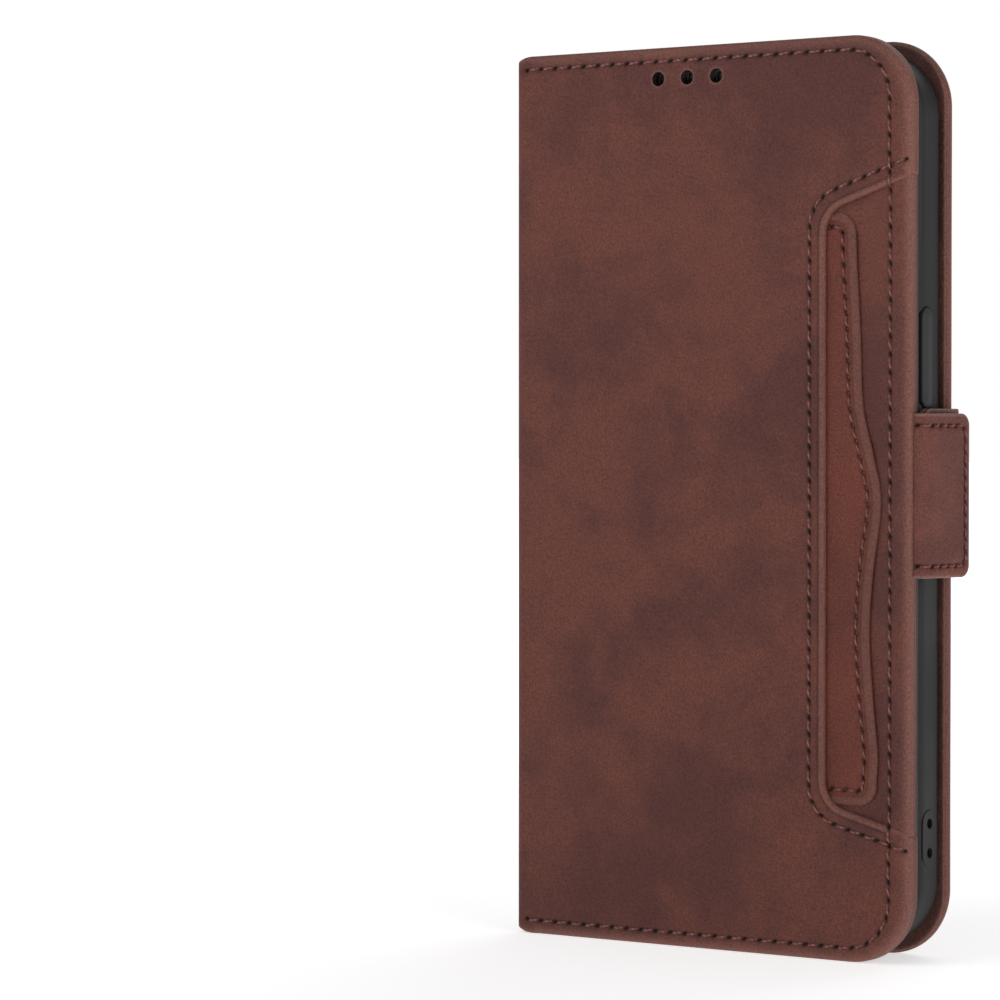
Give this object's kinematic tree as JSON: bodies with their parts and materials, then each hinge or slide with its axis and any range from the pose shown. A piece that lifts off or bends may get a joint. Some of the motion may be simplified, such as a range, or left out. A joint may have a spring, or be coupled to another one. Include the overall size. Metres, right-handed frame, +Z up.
{
  "type": "phone wallet case",
  "caption": "Upright folio case of stitched brown leather around a soft phone shell, with an outside card pocket in the front cover and two magnetic closing tabs.",
  "frame": {"origin": "Centre of the closed case's footprint, on the surface that its lower edges stand on.", "axes": "+X across the width from the spine to the free edge with the tabs, +Y through the thickness from the front cover to the back cover, +Z up along the height."},
  "size_m": [0.0836, 0.0162, 0.154],
  "materials": {
    "leather": "satin, fine grain",
    "panel_leather": "satin, fine grain",
    "lining": "matte",
    "board": "matte",
    "thread": "twisted thread",
    "shell": "satin",
    "button": "satin",
    "magnet": "plain"
  },
  "bodies": {
    "back_cover": {"back_skin": "leather", "back_board": "board", "back_lining": "lining", "phone_shell": "shell", "back_edge_thread": "thread"},
    "spine": {"spine_skin": "leather", "spine_lining": "lining"},
    "front_cover": {"front_skin": "leather", "front_base_skin": "leather", "pocket_panel": "panel_leather", "front_lining": "lining", "front_board": "board", "cash_pocket": "lining", "card_slot_1": "lining", "card_slot_2": "lining", "card_slot_3": "lining", "front_edge_thread": "thread", "pocket_mouth_thread": "thread", "pocket_panel_thread": "thread"},
    "front_tab": {"front_tab_skin": "leather", "front_tab_lining": "lining", "front_tab_magnet": "magnet", "front_tab_thread": "thread"},
    "back_tab": {"back_tab_skin": "leather", "back_tab_lining": "lining", "back_tab_magnet": "magnet", "back_tab_thread": "thread"},
    "side_button": {"side_button_pad": "button"},
    "volume_up": {"volume_up_pad": "button"},
    "volume_down": {"volume_down_pad": "button"}
  },
  "joints": [
    {"name": "spine_fold", "type": "hinge", "parent": "back_cover", "child": "spine", "pos_m": [-0.04139, 0.0077, 0.077], "axis": [0, 0, -1], "range_deg": [0, 180]},
    {"name": "cover_fold", "type": "hinge", "parent": "spine", "child": "front_cover", "pos_m": [-0.04139, -0.0077, 0.077], "axis": [0, 0, -1], "range_deg": [0, 180]},
    {"name": "front_tab_fold", "type": "hinge", "parent": "front_cover", "child": "front_tab", "pos_m": [0.03916, -0.00545, 0.0777], "axis": [0, 0, -1], "range_deg": [0, 170]},
    {"name": "back_tab_fold", "type": "hinge", "parent": "back_cover", "child": "back_tab", "pos_m": [0.03821, 0.00675, 0.0785], "axis": [0, 0, 1], "range_deg": [0, 26]},
    {"name": "side_button_press", "type": "slide", "parent": "back_cover", "child": "side_button", "axis": [-1, 0, 0], "range_m": [0, 0.0004], "stiffness_N_per_m": 300},
    {"name": "volume_up_press", "type": "slide", "parent": "back_cover", "child": "volume_up", "axis": [1, 0, 0], "range_m": [0, 0.0004], "stiffness_N_per_m": 300},
    {"name": "volume_down_press", "type": "slide", "parent": "back_cover", "child": "volume_down", "axis": [1, 0, 0], "range_m": [0, 0.0004], "stiffness_N_per_m": 300}
  ],
  "couplings": [
    {"joint": "back_tab_fold", "follows": "front_tab_fold", "ratio": 0.15}
  ]
}
